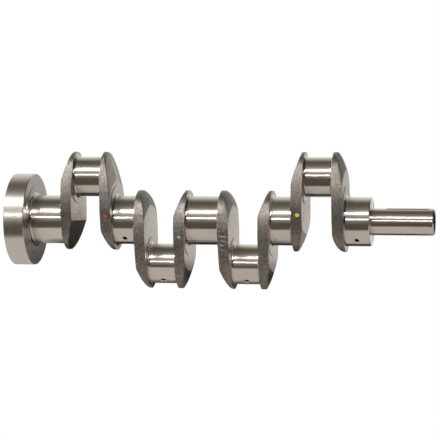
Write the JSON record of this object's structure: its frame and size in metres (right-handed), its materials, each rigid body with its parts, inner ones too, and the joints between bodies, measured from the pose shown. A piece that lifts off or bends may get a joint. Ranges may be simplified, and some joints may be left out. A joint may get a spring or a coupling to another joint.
{
  "type": "crankshaft",
  "caption": "Forged multi-throw engine crankshaft with ground journals, plain oval webs, a thick flywheel flange, a keyed nose and a spigot bearing.",
  "frame": {"origin": "centre of the flywheel face of the rear flange, on the shaft axis", "axes": "+X along the shaft from the flywheel face to the nose; +Z along the throws of the first and fourth crankpins, so the second and third are on -Z; +Y completes the right-handed set"},
  "size_m": [0.6227, 0.133, 0.1994],
  "materials": {
    "forged_web": "as-forged, shot-blasted rims and reliefs with milled faces",
    "ground_journal": "ground and polished",
    "turned_flange": "fine turned",
    "dowel_steel": "hardened and ground",
    "bearing_steel": "polished bearing steel",
    "bearing_pressing": "pressed sheet steel"
  },
  "bodies": {
    "crankshaft": {"rear_flange": "turned_flange", "main_journal_1": "ground_journal", "main_journal_2": "ground_journal", "main_journal_3": "ground_journal", "main_journal_4": "ground_journal", "main_journal_5": "ground_journal", "web_1": "forged_web", "web_2": "forged_web", "web_3": "forged_web", "web_4": "forged_web", "web_5": "forged_web", "web_6": "forged_web", "web_7": "forged_web", "web_8": "forged_web", "crankpin_1": "ground_journal", "crankpin_2": "ground_journal", "crankpin_3": "ground_journal", "crankpin_4": "ground_journal", "nose": "ground_journal", "flywheel_dowel": "dowel_steel", "bearing_outer_ring": "bearing_steel", "bearing_shield_rear": "bearing_pressing", "bearing_shield_front": "bearing_pressing"},
    "spigot_ring": {"bearing_inner_ring": "bearing_steel"},
    "ball_train": {"bearing_balls": "bearing_steel", "bearing_cage": "bearing_pressing"}
  },
  "joints": [
    {"name": "spigot_spin", "type": "hinge", "parent": "crankshaft", "child": "spigot_ring", "pos_m": [0.009, 0, 0], "axis": [1, 0, 0], "continuous": true},
    {"name": "ball_train_spin", "type": "hinge", "parent": "crankshaft", "child": "ball_train", "pos_m": [0.009, 0, 0], "axis": [1, 0, 0], "continuous": true}
  ],
  "couplings": [
    {"joint": "ball_train_spin", "follows": "spigot_spin", "ratio": 0.3896}
  ]
}
